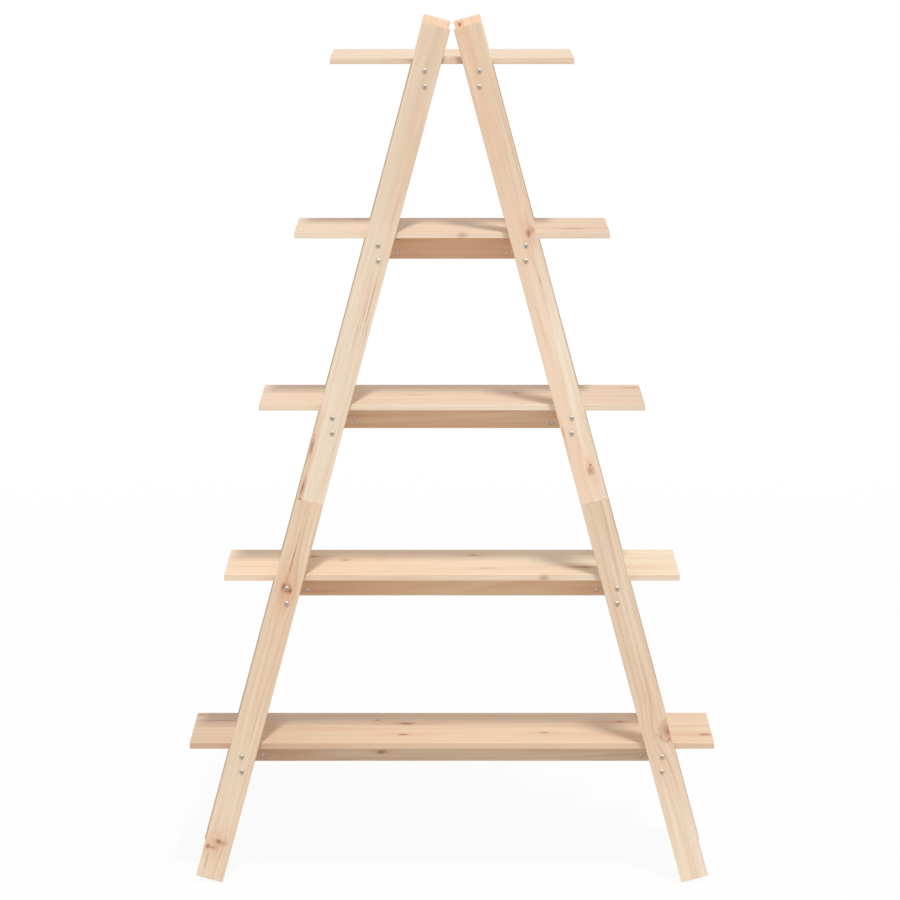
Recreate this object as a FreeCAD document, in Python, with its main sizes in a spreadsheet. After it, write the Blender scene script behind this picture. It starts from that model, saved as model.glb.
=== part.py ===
"""A-frame shelf: two leaning pine frames that carry five boards between them.

Millimetres, +Z up, +X to the right, front towards -Y. The origin is on the floor,
under the middle of the shelf. Each leg leans inwards and is cut square at both ends,
so it stands on its inner bottom edge.
"""
import FreeCAD, Part
import math
import os
import Sketcher

Vector = FreeCAD.Vector

# Driving dimensions: millimetres, the lean in degrees, shares without a unit
SIZES = {
    # The whole shelf
    "overall_height": 1800,
    "lean_angle": 15,
    "apex_gap": 7.5,
    "edge_ease": 1,
    # Legs, each of two lengths that meet at a square seam
    "leg_width": 57.5,
    "leg_thickness": 20,
    "seam_share": 0.54,
    # Boards
    "shelf_depth": 300,
    "shelf_thickness": 13,
    "top_shelf_drop": 86,
    "lowest_shelf_height": 282,
    "top_overhang": 184,
    "bottom_overhang": 100,
    # Cleats and stretchers, sawn from one stock
    "rail_height": 57.5,
    "rail_thickness": 20,
    # Bolts and barrel nuts
    "bolt_diameter": 6,
    "bolt_head_diameter": 10.5,
    "bolt_head_height": 3.3,
    "bolt_rim_height": 0.8,
    "bolt_edge_distance": 12.75,
    "bore_clearance": 0.5,
    "fit_clearance": 0.1,
    "nut_diameter": 10,
    "nut_recess": 1,
    "nut_inset": 28,
    # Joining plates, their screws and the dowels at the leg seams
    "plate_length": 120,
    "plate_width": 25,
    "plate_thickness": 2,
    "screw_diameter": 4,
    "screw_head_diameter": 8,
    "screw_head_height": 2.4,
    "screw_rim_height": 0.5,
    "screw_depth": 12,
    "inner_screw_share": 0.35,
    "outer_screw_share": 0.8,
    "leg_dowel_diameter": 8,
    "leg_dowel_depth": 30,
    "leg_dowel_spacing": 30,
    # Blind dowels between cleats and boards
    "shelf_dowel_diameter": 8,
    "shelf_dowel_cover": 5,
    "cleat_dowel_depth": 12,
    "shelf_dowel_share": 0.25,
}

TIERS = ("top", "second", "third", "fourth", "bottom")
UPPER_TIERS = TIERS[:3]
LOWER_TIERS = TIERS[3:]
STRETCHED_TIERS = TIERS[1:]
BAYS = len(TIERS) - 1
SIDES = {"left": -1, "right": 1}
FRAMES = {"front": -1, "rear": 1}

# Places and lengths that follow from the driving dimensions
PLACES = {
    "lean_sine": "=sin(sizes.lean_angle)",
    "lean_cosine": "=cos(sizes.lean_angle)",
    "lean_tangent": "=tan(sizes.lean_angle)",
    "end_width": "=sizes.leg_width - 2 * sizes.edge_ease",
    "leg_length": "=(sizes.overall_height - end_width * lean_sine) / lean_cosine",
    "foot_z": "=end_width / 2 * lean_sine",
    "foot_x": "=sizes.apex_gap / 2 + (leg_length - sizes.edge_ease) * lean_sine"
              " + sizes.leg_width / 2 * lean_cosine",
    "leg_y": "=(sizes.shelf_depth + sizes.leg_thickness) / 2",
    "outer_y": "=sizes.shelf_depth / 2 + sizes.leg_thickness",
    "highest_underside": "=sizes.overall_height - sizes.top_shelf_drop",
    "shelf_pitch": "=(highest_underside - sizes.lowest_shelf_height) / %d" % BAYS,
    "overhang_step": "=(sizes.bottom_overhang - sizes.top_overhang) / %d" % BAYS,
    "lower_bolt_drop": "=sizes.rail_height - sizes.bolt_edge_distance",
    "bolt_spacing": "=lower_bolt_drop - sizes.bolt_edge_distance",
    "bore_diameter": "=sizes.bolt_diameter + sizes.bore_clearance",
    "nut_bore_diameter": "=sizes.nut_diameter + 2 * sizes.fit_clearance",
    "nut_thread_diameter": "=sizes.bolt_diameter + 2 * sizes.fit_clearance",
    "nut_length": "=sizes.rail_thickness - 2 * sizes.nut_recess",
    "nut_y": "=sizes.shelf_depth / 2 - sizes.nut_inset",
    "bolt_reach": "=sizes.nut_inset + sizes.nut_diameter / 2",
    "bore_depth": "=bolt_reach + sizes.bore_clearance",
    "leg_bolt_length": "=sizes.leg_thickness + bolt_reach",
    "stretcher_bolt_length": "=sizes.rail_thickness + bolt_reach",
    "screw_length": "=sizes.plate_thickness + sizes.screw_depth",
    "screw_bore_diameter": "=sizes.screw_diameter + 2 * sizes.fit_clearance",
    "pilot_depth": "=sizes.screw_depth + sizes.bore_clearance",
    "inner_screw_place": "=sizes.plate_length / 2 * sizes.inner_screw_share",
    "outer_screw_place": "=sizes.plate_length / 2 * sizes.outer_screw_share",
    "leg_dowel_length": "=2 * sizes.leg_dowel_depth",
    "leg_dowel_bore_diameter": "=sizes.leg_dowel_diameter + 2 * sizes.fit_clearance",
    "leg_dowel_bore_depth": "=sizes.leg_dowel_depth + sizes.fit_clearance",
    "shelf_dowel_depth": "=sizes.shelf_thickness - sizes.shelf_dowel_cover",
    "shelf_dowel_length": "=shelf_dowel_depth + sizes.cleat_dowel_depth",
    "shelf_dowel_rise": "=(shelf_dowel_depth - sizes.cleat_dowel_depth) / 2",
    "shelf_dowel_bore_diameter": "=sizes.shelf_dowel_diameter + 2 * sizes.fit_clearance",
    "shelf_dowel_y": "=sizes.shelf_depth * sizes.shelf_dowel_share",
}
for step, tier in enumerate(TIERS):
    PLACES[tier + "_underside"] = "=highest_underside - %d * shelf_pitch" % step
    PLACES[tier + "_bolt_z"] = "=%s_underside - sizes.bolt_edge_distance" % tier
    PLACES[tier + "_bolt_along"] = "=(%s_bolt_z - foot_z) / lean_cosine" % tier
    PLACES[tier + "_cleat_x"] = "=foot_x - (%s_bolt_z - foot_z) * lean_tangent" % tier
    PLACES[tier + "_overhang"] = "=sizes.top_overhang + %d * overhang_step" % step
    PLACES[tier + "_half_length"] = "={0}_cleat_x + sizes.rail_thickness / 2 + {0}_overhang".format(tier)
    PLACES[tier + "_stretcher_end"] = "=%s_cleat_x - sizes.rail_thickness / 2" % tier
    PLACES[tier + "_nut_x"] = "=%s_stretcher_end - sizes.nut_inset" % tier
PLACES["seam_bay_floor"] = "=fourth_underside + sizes.shelf_thickness"
PLACES["seam_bay_height"] = "=third_underside - sizes.rail_height - seam_bay_floor"
PLACES["seam_z"] = "=seam_bay_floor + sizes.seam_share * seam_bay_height"
PLACES["seam_along"] = "=(seam_z - foot_z) / lean_cosine"

# Where a sketch constraint holds a line or an arc, and the sketch's own axes and origin
START, END, CENTRE = range(1, 4)
UPRIGHT_AXIS, ACROSS_AXIS = range(-2, 0)
SKETCH_ORIGIN = (ACROSS_AXIS, START)

document = FreeCAD.newDocument("a_frame_shelf")
sizes = document.addObject("Spreadsheet::Sheet", "sizes")
places = document.addObject("Spreadsheet::Sheet", "places")
pieces = []


def fill(sheet, cells):
    """Write one named cell per row of a sheet."""
    for row, (name, content) in enumerate(cells.items(), start=1):
        address = "A%d" % row
        sheet.set(address, str(content))
        sheet.setAlias(address, name)
    document.recompute()


def measure(formula):
    """The number that a formula over the two sheets gives now."""
    return float(sizes.evalExpression(formula))


def plane_of(body, role):
    """One of a body's own origin planes."""
    for feature in body.Origin.OriginFeatures:
        if feature.Role == role:
            return feature
    raise ValueError("%s has no plane %s" % (body.Label, role))


def new_sketch(body, name, role, offset=None):
    """A sketch on one of the body's origin planes, moved along its normal by a formula."""
    sketch = body.newObject("Sketcher::SketchObject", "%s_%s_sketch" % (body.Name, name))
    sketch.AttachmentSupport = [(plane_of(body, role), "")]
    sketch.MapMode = "FlatFace"
    if offset:
        sketch.setExpression("AttachmentOffset.Base.z", offset)
    return sketch


def hold(sketch, constraint, formula):
    """Add a constraint whose value follows a formula."""
    number = sketch.addConstraint(constraint)
    name = "size_%d" % number
    sketch.renameConstraint(number, name)
    sketch.setExpression("Constraints." + name, formula)


def hold_point(sketch, geometry, point, x, y):
    """Hold one point of a sketch at a pair of formulas."""
    for kind, formula in (("DistanceX", x), ("DistanceY", y)):
        constraint = Sketcher.Constraint(kind, *SKETCH_ORIGIN, geometry, point, measure(formula))
        hold(sketch, constraint, formula)


def dome_arc(crown, rim):
    """The arc from a crown on the sketch's upright axis to a rim, centred on that axis."""
    rise = rim.y - crown.y
    radius = (rim.x ** 2 + rise ** 2) / (2 * rise)
    centre = Vector(0, crown.y + radius, 0)
    rim_angle = math.atan2(rim.y - centre.y, rim.x)
    return Part.ArcOfCircle(Part.Circle(centre, Vector(0, 0, 1), radius), -math.pi / 2, rim_angle)


def outline(sketch, corners, domed=False):
    """A closed outline through corners given as formulas; if domed, its first side is a dome."""
    points = [Vector(measure(x), measure(y), 0) for x, y in corners]
    following = points[1:] + points[:1]
    for number, ends in enumerate(zip(points, following)):
        curve = dome_arc(*ends) if domed and number == 0 else Part.LineSegment(*ends)
        sketch.addGeometry(curve, False)
    for number, (x, y) in enumerate(corners):
        neighbour = (number + 1) % len(corners)
        sketch.addConstraint(Sketcher.Constraint("Coincident", number, END, neighbour, START))
        hold_point(sketch, number, START, x, y)
    if domed:
        sketch.addConstraint(Sketcher.Constraint("PointOnObject", 0, CENTRE, UPRIGHT_AXIS))


def rectangle(sketch, left, right, bottom, top):
    """A rectangle between four formulas."""
    outline(sketch, [(left, bottom), (right, bottom), (right, top), (left, top)])


def circle(sketch, x, y, diameter):
    """A circle about a point given as formulas."""
    centre = Vector(measure(x), measure(y), 0)
    size = measure(diameter)
    number = sketch.addGeometry(Part.Circle(centre, Vector(0, 0, 1), size / 2), False)
    hold_point(sketch, number, CENTRE, x, y)
    hold(sketch, Sketcher.Constraint("Diameter", number, size), diameter)


def pad(body, sketch, length, both_ways=True, reverse=False):
    """Raise a sketch into a solid."""
    feature = body.newObject("PartDesign::Pad", body.Name + "_pad")
    feature.Profile = sketch
    feature.setExpression("Length", length)
    feature.SideType = "Symmetric" if both_ways else "One side"
    feature.Reversed = reverse
    document.recompute()


def ease(body):
    """Break every edge that the body has so far."""
    base = body.Tip
    feature = body.newObject("PartDesign::Chamfer", body.Name + "_eased_edges")
    feature.Base = (base, ["Edge%d" % (number + 1) for number in range(len(base.Shape.Edges))])
    feature.setExpression("Size", "sizes.edge_ease")
    document.recompute()


def bore(body, name, role, centres, diameter, depth=None, offset=None, reverse=False):
    """Drill round holes from a plane, right through both ways where no depth is given."""
    solid_volume = body.Shape.Volume
    sketch = new_sketch(body, name, role, offset)
    for x, y in centres:
        circle(sketch, x, y, diameter)
    feature = body.newObject("PartDesign::Pocket", "%s_%s" % (body.Name, name))
    feature.Profile = sketch
    if depth:
        feature.Type = "Length"
        feature.setExpression("Length", depth)
        feature.Reversed = reverse
    else:
        feature.Type = "ThroughAll"
        feature.SideType = "Symmetric"
    document.recompute()
    if body.Shape.Volume >= solid_volume:
        raise ValueError("%s cuts nothing from %s" % (name, body.Label))
    return feature


def mirror(body, role, features):
    """Repeat features on the other side of one of the body's planes."""
    feature = body.newObject("PartDesign::Mirrored", body.Name + "_mirrored")
    feature.Originals = features
    feature.MirrorPlane = (plane_of(body, role), [""])
    body.Tip = feature
    document.recompute()


def new_body(label):
    """An empty body."""
    return document.addObject("PartDesign::Body", label)


def place(body, x, y, z):
    """Put a body's origin at three formulas."""
    for axis, formula in (("x", x), ("y", y), ("z", z)):
        body.setExpression("Placement.Base." + axis, formula)
    document.recompute()


def stand_in_leg(body, frame, side):
    """Give a body the frame of one leg: Z along the leg from its foot, X across it."""
    axis = Vector(0, -SIDES[side], 0)
    body.Placement = FreeCAD.Placement(Vector(), FreeCAD.Rotation(axis, measure("sizes.lean_angle")))
    body.setExpression("Placement.Rotation.Angle", "sizes.lean_angle")
    place(body, "%d * places.foot_x" % SIDES[side], "%d * places.leg_y" % FRAMES[frame], "places.foot_z")


def screw_places(signs):
    """The joining plate's screw places along a leg, below the seam (-1), above it (1) or both."""
    return ["places.seam_along + %d * places.%s_screw_place" % (sign, row)
            for sign in signs for row in ("inner", "outer")]


def leg_piece(frame, side, name, bottom, top, tiers, above_seam):
    """One length of a leg, with its bolt holes, dowel bores and pilot holes."""
    body = new_body("%s_%s_%s_leg" % (frame, side, name))
    sketch = new_sketch(body, "face", "XZ_Plane")
    rectangle(sketch, "-sizes.leg_width / 2", "sizes.leg_width / 2", bottom, top)
    pad(body, sketch, "sizes.leg_thickness")
    ease(body)
    bolt_holes = []
    for tier in tiers:
        along = "places.%s_bolt_along" % tier
        bolt_holes.append(("0", along))
        bolt_holes.append(("%d * places.bolt_spacing * places.lean_sine" % -SIDES[side],
                           along + " - places.bolt_spacing * places.lean_cosine"))
    bore(body, "bolt_holes", "XZ_Plane", bolt_holes, "places.bore_diameter")
    dowel_bores = [("%d * sizes.leg_dowel_spacing / 2" % sign, "0") for sign in (-1, 1)]
    bore(body, "dowel_bores", "XY_Plane", dowel_bores, "places.leg_dowel_bore_diameter",
         depth="places.leg_dowel_bore_depth", offset="places.seam_along", reverse=above_seam)
    pilot_holes = [("0", along) for along in screw_places([1 if above_seam else -1])]
    bore(body, "pilot_holes", "XZ_Plane", pilot_holes, "places.screw_bore_diameter",
         depth="places.pilot_depth", offset="%d * sizes.leg_thickness / 2" % FRAMES[frame],
         reverse=frame == "front")
    stand_in_leg(body, frame, side)
    pieces.append(body)


def leg(frame, side):
    """A leg: an upper and a lower length that meet at the seam."""
    leg_piece(frame, side, "upper", "places.seam_along", "places.leg_length", UPPER_TIERS, True)
    leg_piece(frame, side, "lower", "0", "places.seam_along", LOWER_TIERS, False)


def joining_plate(frame, side):
    """The flat plate that bridges a leg's seam on the face towards the other frame."""
    body = new_body("%s_%s_joining_plate" % (frame, side))
    sketch = new_sketch(body, "face", "XZ_Plane", "%d * sizes.leg_thickness / 2" % FRAMES[frame])
    rectangle(sketch, "-sizes.plate_width / 2", "sizes.plate_width / 2",
              "places.seam_along - sizes.plate_length / 2", "places.seam_along + sizes.plate_length / 2")
    for along in screw_places((-1, 1)):
        circle(sketch, "0", along, "places.screw_bore_diameter")
    pad(body, sketch, "sizes.plate_thickness", both_ways=False, reverse=frame == "front")
    stand_in_leg(body, frame, side)
    pieces.append(body)


def shelf_board(tier):
    """A board, with blind dowel bores from below."""
    body = new_body(tier + "_shelf")
    half_length = "places.%s_half_length" % tier
    sketch = new_sketch(body, "face", "XY_Plane")
    rectangle(sketch, "-" + half_length, half_length, "-sizes.shelf_depth / 2", "sizes.shelf_depth / 2")
    pad(body, sketch, "sizes.shelf_thickness", both_ways=False)
    ease(body)
    dowel_bores = [("%d * places.%s_cleat_x" % (across, tier), "%d * places.shelf_dowel_y" % deep)
                   for across in (-1, 1) for deep in (-1, 1)]
    bore(body, "dowel_bores", "XY_Plane", dowel_bores, "places.shelf_dowel_bore_diameter",
         depth="places.shelf_dowel_depth + sizes.fit_clearance", reverse=True)
    place(body, "0", "0", "places.%s_underside" % tier)
    pieces.append(body)


def cleat(tier, side):
    """The rail under a board's end, bolted between the front and the rear leg."""
    body = new_body("%s_%s_cleat" % (tier, side))
    sketch = new_sketch(body, "face", "YZ_Plane")
    rectangle(sketch, "-sizes.shelf_depth / 2", "sizes.shelf_depth / 2", "-sizes.rail_height", "0")
    pad(body, sketch, "sizes.rail_thickness")
    ease(body)
    drops = ("-sizes.bolt_edge_distance", "-places.lower_bolt_drop")
    dowel_bores = [("0", "%d * places.shelf_dowel_y" % deep) for deep in (-1, 1)]
    bore(body, "dowel_bores", "XY_Plane", dowel_bores, "places.shelf_dowel_bore_diameter",
         depth="sizes.cleat_dowel_depth + sizes.fit_clearance")
    if tier in STRETCHED_TIERS:
        bore(body, "stretcher_holes", "YZ_Plane", [("0", drop) for drop in drops], "places.bore_diameter")
    end_bores = bore(body, "end_bores", "XZ_Plane", [("0", drop) for drop in drops],
                     "places.bore_diameter", depth="places.bore_depth", offset="sizes.shelf_depth / 2")
    nut_bores = bore(body, "nut_bores", "YZ_Plane", [("-places.nut_y", drop) for drop in drops],
                     "places.nut_bore_diameter")
    mirror(body, "XZ_Plane", [end_bores, nut_bores])
    place(body, "%d * places.%s_cleat_x" % (SIDES[side], tier), "0", "places.%s_underside" % tier)
    pieces.append(body)


def stretcher(tier):
    """The rail along the middle of a board's underside, from cleat to cleat."""
    body = new_body(tier + "_stretcher")
    end = "places.%s_stretcher_end" % tier
    sketch = new_sketch(body, "face", "XZ_Plane")
    rectangle(sketch, "-" + end, end, "-sizes.rail_height", "0")
    pad(body, sketch, "sizes.rail_thickness")
    ease(body)
    drops = ("-sizes.bolt_edge_distance", "-places.lower_bolt_drop")
    end_bores = bore(body, "end_bores", "YZ_Plane", [("0", drop) for drop in drops],
                     "places.bore_diameter", depth="places.bore_depth", offset=end)
    nut_bores = bore(body, "nut_bores", "XZ_Plane", [("places.%s_nut_x" % tier, drop) for drop in drops],
                     "places.nut_bore_diameter")
    mirror(body, "YZ_Plane", [end_bores, nut_bores])
    place(body, "0", "0", "places.%s_underside" % tier)
    pieces.append(body)


def domed_fastener(label, name, length):
    """A bolt or screw with a domed head, its shank along +Z from under the head."""
    body = new_body(label)
    head_radius = "sizes.%s_head_diameter / 2" % name
    shank_radius = "sizes.%s_diameter / 2" % name
    sketch = new_sketch(body, "half_section", "XZ_Plane")
    outline(sketch, [
        ("0", "-sizes.%s_head_height" % name),
        (head_radius, "-sizes.%s_rim_height" % name),
        (head_radius, "0"),
        (shank_radius, "0"),
        (shank_radius, length),
        ("0", length),
    ], domed=True)
    feature = body.newObject("PartDesign::Revolution", label + "_turned")
    feature.Profile = sketch
    feature.ReferenceAxis = (sketch, ["V_Axis"])
    document.recompute()
    return body


def barrel_nut():
    """A round cross nut along Z, with its thread across it along X."""
    body = new_body("barrel_nut")
    sketch = new_sketch(body, "end", "XY_Plane")
    circle(sketch, "0", "0", "sizes.nut_diameter")
    pad(body, sketch, "places.nut_length")
    bore(body, "thread", "YZ_Plane", [("0", "0")], "places.nut_thread_diameter")
    return body


def dowel(label, diameter, length):
    """A round wooden pin along Z, about its own middle."""
    body = new_body(label)
    sketch = new_sketch(body, "end", "XY_Plane")
    circle(sketch, "0", "0", diameter)
    pad(body, sketch, length)
    return body


def spread(label, pattern, placements):
    """Copies of one small piece, as separate solids in one group."""
    copies = []
    for placement in placements:
        copy = pattern.Shape.copy()
        copy.Placement = placement.multiply(copy.Placement)
        copies.append(copy)
    feature = document.addObject("Part::Feature", label)
    feature.Shape = Part.makeCompound(copies)
    pieces.append(feature)


def turned(x_axis, z_axis):
    """The rotation that sends a piece's own X and Z axes to two directions."""
    return FreeCAD.Rotation(x_axis, z_axis.cross(x_axis), z_axis, "ZXY")


def bolt_heights(tier):
    """The two heights at which a tier's bolts cross its rails."""
    upper = measure("places.%s_bolt_z" % tier)
    return upper, upper - measure("places.bolt_spacing")


def leg_joint_places():
    """Each bolt through a leg into a cleat: across, height and frame sign."""
    for tier in TIERS:
        cleat_x = measure("places.%s_cleat_x" % tier)
        for side_sign in SIDES.values():
            for height in bolt_heights(tier):
                for frame_sign in FRAMES.values():
                    yield side_sign * cleat_x, height, frame_sign


def stretcher_joint_places(reach):
    """Each bolt through a cleat into a stretcher: across, height and side sign."""
    for tier in STRETCHED_TIERS:
        across = measure("places.%s_%s" % (tier, reach))
        for side_sign in SIDES.values():
            for height in bolt_heights(tier):
                yield side_sign * across, height, side_sign


def leg_joint_fasteners():
    """Bolts through the legs, and the barrel nuts that they draw up in the cleats."""
    outer_y = measure("places.outer_y")
    nut_y = measure("places.nut_y")
    bolts = []
    nuts = []
    for across, height, sign in leg_joint_places():
        inwards = turned(Vector(1, 0, 0), Vector(0, -sign, 0))
        bolts.append(FreeCAD.Placement(Vector(across, sign * outer_y, height), inwards))
        crosswise = turned(Vector(0, 1, 0), Vector(1, 0, 0))
        nuts.append(FreeCAD.Placement(Vector(across, sign * nut_y, height), crosswise))
    spread("leg_bolts", domed_fastener("leg_bolt", "bolt", "places.leg_bolt_length"), bolts)
    return nuts


def stretcher_joint_fasteners():
    """Bolts through the cleats, and the barrel nuts that they draw up in the stretchers."""
    half_rail = measure("sizes.rail_thickness / 2")
    bolts = []
    for across, height, sign in stretcher_joint_places("cleat_x"):
        inwards = turned(Vector(0, 1, 0), Vector(-sign, 0, 0))
        bolts.append(FreeCAD.Placement(Vector(across + sign * half_rail, 0, height), inwards))
    spread("stretcher_bolts", domed_fastener("stretcher_bolt", "bolt", "places.stretcher_bolt_length"), bolts)
    crosswise = turned(Vector(1, 0, 0), Vector(0, 1, 0))
    return [FreeCAD.Placement(Vector(across, 0, height), crosswise)
            for across, height, sign in stretcher_joint_places("nut_x")]


def seam_fasteners():
    """Dowels inside the leg seams, and the screws of their joining plates."""
    half_spacing = measure("sizes.leg_dowel_spacing / 2")
    seam_along = measure("places.seam_along")
    screw_seat = measure("sizes.leg_thickness / 2 + sizes.plate_thickness")
    dowels = []
    screws = []
    for frame, frame_sign in FRAMES.items():
        into_leg = turned(Vector(1, 0, 0), Vector(0, frame_sign, 0))
        for side in SIDES:
            leg_place = document.getObject("%s_%s_lower_leg" % (frame, side)).Placement
            for sign in (-1, 1):
                dowels.append(leg_place.multiply(FreeCAD.Placement(
                    Vector(sign * half_spacing, 0, seam_along), FreeCAD.Rotation())))
            for along in screw_places((-1, 1)):
                screws.append(leg_place.multiply(FreeCAD.Placement(
                    Vector(0, -frame_sign * screw_seat, measure(along)), into_leg)))
    spread("leg_dowels", dowel("leg_dowel", "sizes.leg_dowel_diameter", "places.leg_dowel_length"), dowels)
    spread("joining_plate_screws", domed_fastener("plate_screw", "screw", "places.screw_length"), screws)


def shelf_dowels():
    """Blind pins that keep the boards on their cleats."""
    deep = measure("places.shelf_dowel_y")
    rise = measure("places.shelf_dowel_rise")
    pins = []
    for tier in TIERS:
        height = measure("places.%s_underside" % tier) + rise
        across = measure("places.%s_cleat_x" % tier)
        for side_sign in SIDES.values():
            for frame_sign in FRAMES.values():
                centre = Vector(side_sign * across, frame_sign * deep, height)
                pins.append(FreeCAD.Placement(centre, FreeCAD.Rotation()))
    spread("shelf_dowels", dowel("shelf_dowel", "sizes.shelf_dowel_diameter", "places.shelf_dowel_length"), pins)


def build():
    """Make every piece."""
    fill(sizes, SIZES)
    fill(places, PLACES)
    for frame in FRAMES:
        for side in SIDES:
            leg(frame, side)
            joining_plate(frame, side)
    for tier in TIERS:
        shelf_board(tier)
        for side in SIDES:
            cleat(tier, side)
    for tier in STRETCHED_TIERS:
        stretcher(tier)
    leg_nuts = leg_joint_fasteners()
    stretcher_nuts = stretcher_joint_fasteners()
    nut = barrel_nut()
    spread("leg_barrel_nuts", nut, leg_nuts)
    spread("stretcher_barrel_nuts", nut, stretcher_nuts)
    seam_fasteners()
    shelf_dowels()
    document.recompute()


def check():
    """Stop if any object failed or any piece is not a sound solid."""
    for thing in document.Objects:
        if "Invalid" in thing.State or "Error" in thing.State:
            raise RuntimeError("%s failed: %s" % (thing.Label, thing.State))
    for piece in pieces:
        if piece.Shape.isNull() or not piece.Shape.isValid() or not piece.Shape.Solids:
            raise RuntimeError("%s is not a sound solid" % piece.Label)


def write():
    """Write each piece to its own file."""
    os.makedirs("parts", exist_ok=True)
    for piece in pieces:
        piece.Shape.exportStep("parts/%s.step" % piece.Label)


build()
check()
write()
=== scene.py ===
"""Looks of an a-frame shelf: pine boards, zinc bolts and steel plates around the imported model."""

import math
from collections import namedtuple

import bpy
from bpy.props import FloatProperty, FloatVectorProperty, PointerProperty
from bpy.types import Operator, Panel, PropertyGroup
from mathutils import Matrix, Vector


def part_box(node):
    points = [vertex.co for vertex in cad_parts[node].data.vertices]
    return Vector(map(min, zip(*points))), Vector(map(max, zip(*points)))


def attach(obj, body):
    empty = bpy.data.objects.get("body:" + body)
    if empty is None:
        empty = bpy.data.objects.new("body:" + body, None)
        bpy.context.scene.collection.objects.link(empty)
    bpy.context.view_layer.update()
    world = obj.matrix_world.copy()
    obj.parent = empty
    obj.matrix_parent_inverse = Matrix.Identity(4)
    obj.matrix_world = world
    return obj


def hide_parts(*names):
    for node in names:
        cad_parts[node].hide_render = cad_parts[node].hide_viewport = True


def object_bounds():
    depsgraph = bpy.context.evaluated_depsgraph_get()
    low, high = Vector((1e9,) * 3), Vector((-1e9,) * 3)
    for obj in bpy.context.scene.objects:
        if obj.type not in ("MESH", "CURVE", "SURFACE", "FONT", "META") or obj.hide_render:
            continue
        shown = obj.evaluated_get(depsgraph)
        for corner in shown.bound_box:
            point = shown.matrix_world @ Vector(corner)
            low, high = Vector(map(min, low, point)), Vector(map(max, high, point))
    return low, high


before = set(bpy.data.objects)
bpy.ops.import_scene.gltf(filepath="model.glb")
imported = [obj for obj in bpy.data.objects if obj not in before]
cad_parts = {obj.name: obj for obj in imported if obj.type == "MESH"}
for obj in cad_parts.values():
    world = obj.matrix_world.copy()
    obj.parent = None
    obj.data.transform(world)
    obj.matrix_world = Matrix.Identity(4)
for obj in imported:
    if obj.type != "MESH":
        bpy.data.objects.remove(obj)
cad_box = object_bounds()

bl_info = {
    "name": "A-Frame Shelf",
    "version": (1, 0, 0),
    "blender": (4, 5, 0),
    "location": "View3D > Sidebar > Shelf",
    "description": "Dresses an a-frame shelf in pine, zinc and steel and sets its stage",
    "category": "Object",
}

BODY = "root"
TIERS = ("top", "second", "third", "fourth", "bottom")
SIDES = {"left": -1.0, "right": 1.0}
ENDS = {"front": -1.0, "rear": 1.0}
ACROSS, DEEP, UP = Vector((1, 0, 0)), Vector((0, 1, 0)), Vector((0, 0, 1))
LEVEL = ACROSS + DEEP

# Where a colour mix keeps its factor, its two colours and its result
MIX_FACTOR, MIX_FIRST, MIX_SECOND, MIX_RESULT = 0, 6, 7, 2


def centre(node):
    """The middle of a CAD node's box."""
    low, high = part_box(node)
    return (low + high) / 2


def screen(*values):
    """A colour as it looks on screen, 0 to 255, in the linear values that shaders take."""
    shares = [value / 255 for value in values]
    return tuple(s / 12.92 if s <= 0.04045 else ((s + 0.055) / 1.055) ** 2.4 for s in shares)


def tint(name, description, *values):
    """A colour that a user can change."""
    return FloatVectorProperty(
        name=name, description=description, default=screen(*values), subtype="COLOR", min=0.0, max=1.0)


def metres(name, description, default):
    """A length that a user can change."""
    return FloatProperty(name=name, description=description, default=default, unit="LENGTH", precision=4)


def share(name, description, default):
    """A share from 0 to 1 that a user can change."""
    return FloatProperty(
        name=name, description=description, default=default, subtype="FACTOR", min=0.0, max=1.0)


def degrees(name, description, default):
    """An angle that a user can change."""
    return FloatProperty(
        name=name, description=description, default=math.radians(default), subtype="ANGLE")


class PineSettings(PropertyGroup):
    """Colours and figure of the planed, unvarnished pine."""

    early_wood: tint("Early Wood", "Pale wood between the ring lines", 233, 209, 182)
    late_wood: tint("Late Wood", "Darker wood of the ring lines", 203, 161, 121)
    blush: tint("Blush", "Warm clouds that run along the grain", 231, 195, 164)
    streak: tint("Streak", "Long thin streaks of denser wood", 212, 173, 135)
    cream: tint("Cream", "Pale bands along the grain", 246, 228, 204)
    halo: tint("Knot Halo", "Resin-stained wood round a knot", 217, 160, 124)
    knot: tint("Knot", "Outer wood of a knot", 178, 113, 78)
    knot_core: tint("Knot Core", "Dark middle of a knot", 116, 68, 48)
    end_grain: tint("End Grain", "Sawn board ends, where the wood drinks in light", 216, 176, 136)
    ring_contrast: share("Ring Contrast", "How strongly the ring lines show", 0.75)
    roughness: share("Roughness", "Roughness of the planed face", 0.58)
    relief: metres("Grain Relief", "Height of the raised grain", 0.00012)


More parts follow.
